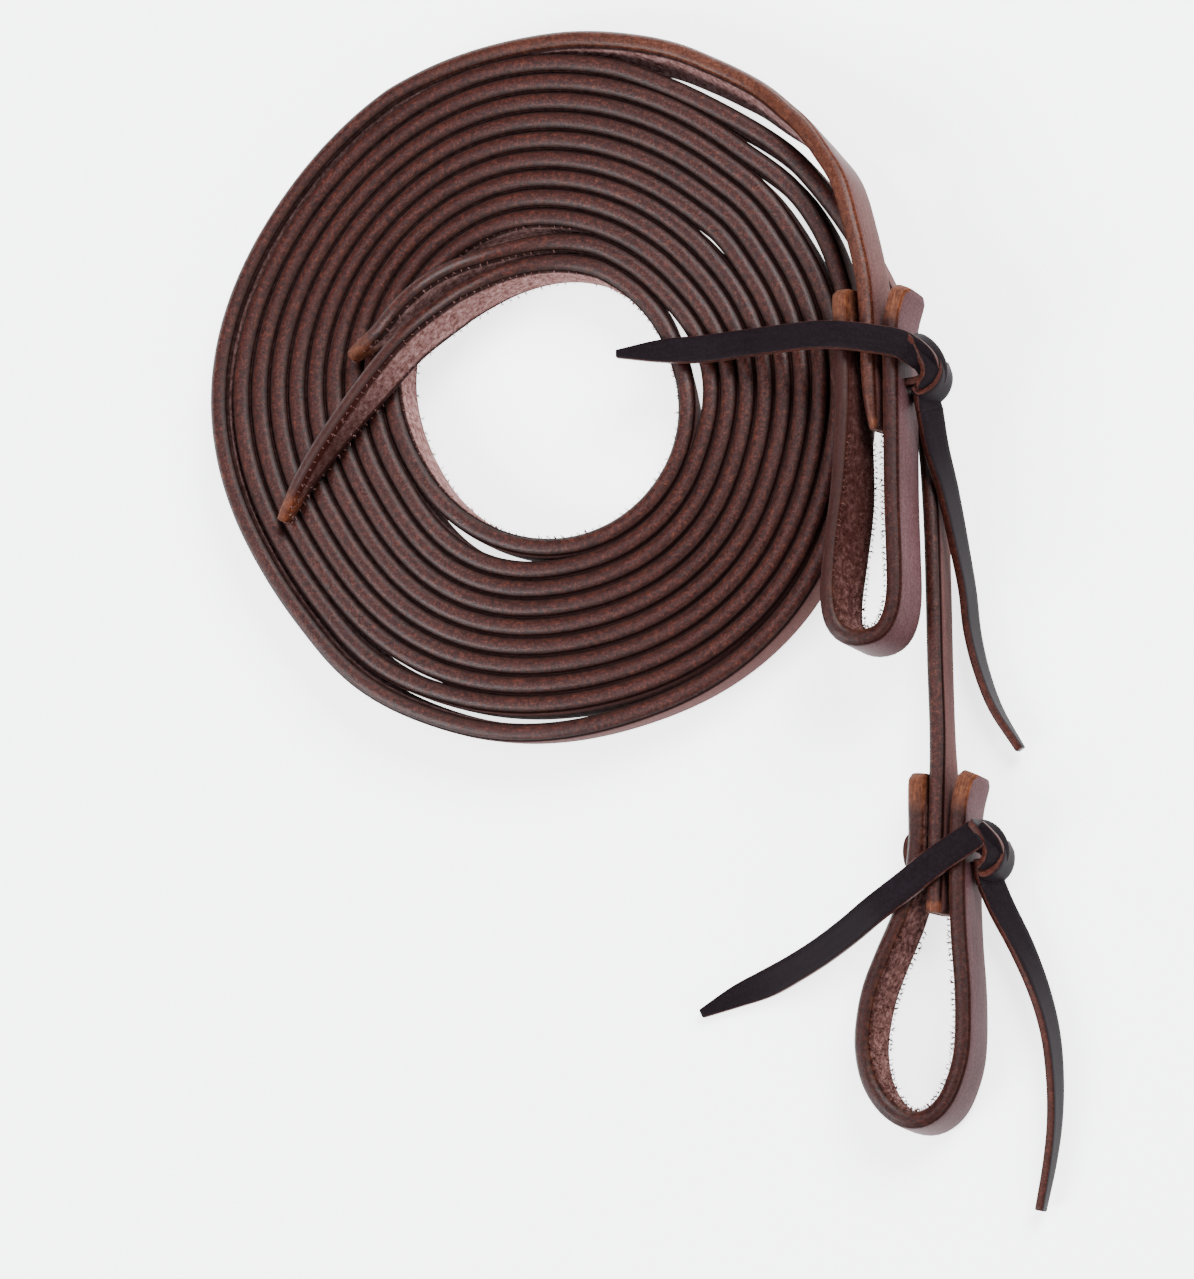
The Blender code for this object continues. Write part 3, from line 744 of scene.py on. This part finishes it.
def make_loop(name, route, height, tip, roll, oil_and_painted_shade, body, node, finish):
    flat = evened([(*row[:2], height, 0.0, STRAP_WIDTH, LOOP_THICK)
                   for row in smooth(route, LOOP_PIECES)], LOOP_ROW)
    ways = frames([Vector(row[:3]) for row in flat])
    rows = []
    for i, row in enumerate(flat):
        # the whole loop tips over one way, so its lean changes as it turns
        way = ways[i][0]
        lean = (tip[0] if way.y < 0.0 else tip[1]) * way.y + tip[2] * way.x
        if way.y < 0.0:
            lean += roll[2] * way.y * ease(1.0 - abs(row[1] - roll[0]) / roll[1])
        near = min(i, len(flat) - 1 - i) * LOOP_ROW
        round_off = 1.0 - math.sqrt(max(0.0, 1.0 - (1.0 - min(near / 4.0, 1.0)) ** 2.4))
        rows.append((row[0], row[1], height, lean, STRAP_WIDTH - 5.0 * round_off, LOOP_THICK))
    # the loop runs with its grain face outside, which is on the right of the way round
    # the left leg darkens near its ear end: painted shade on the upper loop, oil on the lower one
    piece = swept(name, rows, STRAP_EDGE, grain=-1, raw_start=16.0, raw_end=16.0,
                  wear_oil_and_shade_at=lambda run: oil_and_painted_shade * (ease((run - 60.0) / 45.0) - 1.0))
    fuzz = fibres(name + "_fuzz", rows, -1, *LOOP_FUZZ)
    piece = joined(name, (piece, fuzz))
    dress(piece, finish)
    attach(piece, body)
    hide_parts(node)


# Laces

def make_tail(name, route, grain, body, node, finish):
    rows = evened([row + (LACE_THICK,) for row in smooth(route, LACE_PIECES)], TAIL_ROW)
    piece = swept(name, rows, LACE_EDGE, grain=grain)
    dress(piece, finish)
    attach(piece, body)
    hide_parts(node)


def make_knot(name, runs, body, node, finish):
    pieces = []
    for k, run in enumerate(runs):
        rows = evened([row + (LACE_THICK,) for row in smooth(run, LACE_PIECES)], KNOT_ROW)
        # the run that goes on from the left end lies with its grain face up, as that end does
        grain = -1 if k == 2 else 1
        pieces.append(swept(f"{name}_{k}", rows, LACE_EDGE, grain=grain))
    piece = joined(name, pieces)
    dress(piece, finish)
    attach(piece, body)
    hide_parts(node)


# Setting

def plain(name, colour, roughness):
    shade = bpy.data.materials.new(name)
    shade.use_nodes = True
    surface = shade.node_tree.nodes["Principled BSDF"]
    surface.inputs["Base Color"].default_value = (*colour, 1.0)
    surface.inputs["Roughness"].default_value = roughness
    return shade


def soft_light(name, place, size, power, colour=(1.0, 1.0, 1.0)):
    lamp = bpy.data.lights.new(name, "AREA")
    lamp.shape = "SQUARE"
    lamp.size = size
    lamp.energy = power
    lamp.color = colour
    holder = bpy.data.objects.new(name, lamp)
    holder.matrix_world = Matrix.Translation(place) @ \
        (Vector(place) - LOOK_AT).to_track_quat("Z", "Y").to_matrix().to_4x4()
    bpy.context.scene.collection.objects.link(holder)


def set_stage():
    bpy.ops.mesh.primitive_plane_add(size=8.0, location=(0.0, 0.0, -0.0004))
    floor = bpy.context.object
    floor.name = "floor"
    paper = plain("floor_paper", (0.95, 0.95, 0.95), 0.9)
    lit = paper.node_tree.nodes["Principled BSDF"]
    lit.inputs["Specular IOR Level"].default_value = 0.0
    lit.inputs["Emission Color"].default_value = (1.0, 1.0, 1.0, 1.0)
    lit.inputs["Emission Strength"].default_value = FLOOR_GLOW
    dress(floor, paper)
    bpy.ops.object.transform_apply(location=True, rotation=True, scale=True)
    sky = bpy.data.worlds.new("studio")
    sky.use_nodes = True
    sky.node_tree.nodes["Background"].inputs["Color"].default_value = (0.90, 0.95, 1.0, 1.0)
    sky.node_tree.nodes["Background"].inputs["Strength"].default_value = 0.38
    bpy.context.scene.world = sky
    soft_light("far_right", (1.0, 1.25, 1.5), 1.0, 110.0, (0.95, 0.98, 1.0))
    soft_light("near_left", (-1.35, -0.95, 1.4), 1.0, 95.0, (0.95, 0.98, 1.0))
    soft_light("overhead", (-0.48, 0.24, 1.5), 0.7, 11.0, (0.86, 0.89, 1.0))
    soft_light("near_right", (1.35, -0.9, 0.8), 0.8, 14.0)


bpy.ops.object.select_all(action="DESELECT")
set_camera()
# the number after the two IORs sets how dark the gaps between layers are painted: shade with some
# darker dye
rein_finish = finishes("oiled_rein_leather", REIN_FINISH, 1.28, 1.05, dirt=0.90)
loop_finish = finishes("bit_loop_harness_leather", LOOP_FINISH, 1.25, 1.08, dirt=0.3)
lace_finish = finishes("aubergine_lace_leather", LACE_FINISH, 1.20, 1.13, dirt=0.3,
                       fleck=0.35, nap=0.6)
make_reins(rein_finish)
make_loop("lower_bit_loop", LOWER_LOOP, LOW + 0.1, LOWER_TIP, LOWER_ROLL, LOWER_OILED,
          "lower_bit_end", "bit_loop_lower", loop_finish)
make_loop("upper_bit_loop", UPPER_LOOP, HIGH, UPPER_TIP, UPPER_ROLL, UPPER_PAINTED_SHADE,
          "upper_bit_end", "bit_loop_upper", loop_finish)
for node, route, grain, body in (
        ("lace_tail_upper_left", UPPER_LEFT_TAIL, -1, "upper_left_tail"),
        ("lace_tail_upper_right", UPPER_RIGHT_TAIL, 1, "upper_right_tail"),
        ("lace_tail_lower_left", LOWER_LEFT_TAIL, -1, "lower_left_tail"),
        ("lace_tail_lower_right", LOWER_RIGHT_TAIL, 1, "lower_right_tail")):
    make_tail(node.replace("lace_tail", "lace_end"), route, grain, body, node, lace_finish)
make_knot("lower_lace_knot", LOWER_KNOT, "lower_bit_end", "tie_lace_lower", lace_finish)
make_knot("upper_lace_knot", UPPER_KNOT, "upper_bit_end", "tie_lace_upper", lace_finish)
set_stage()
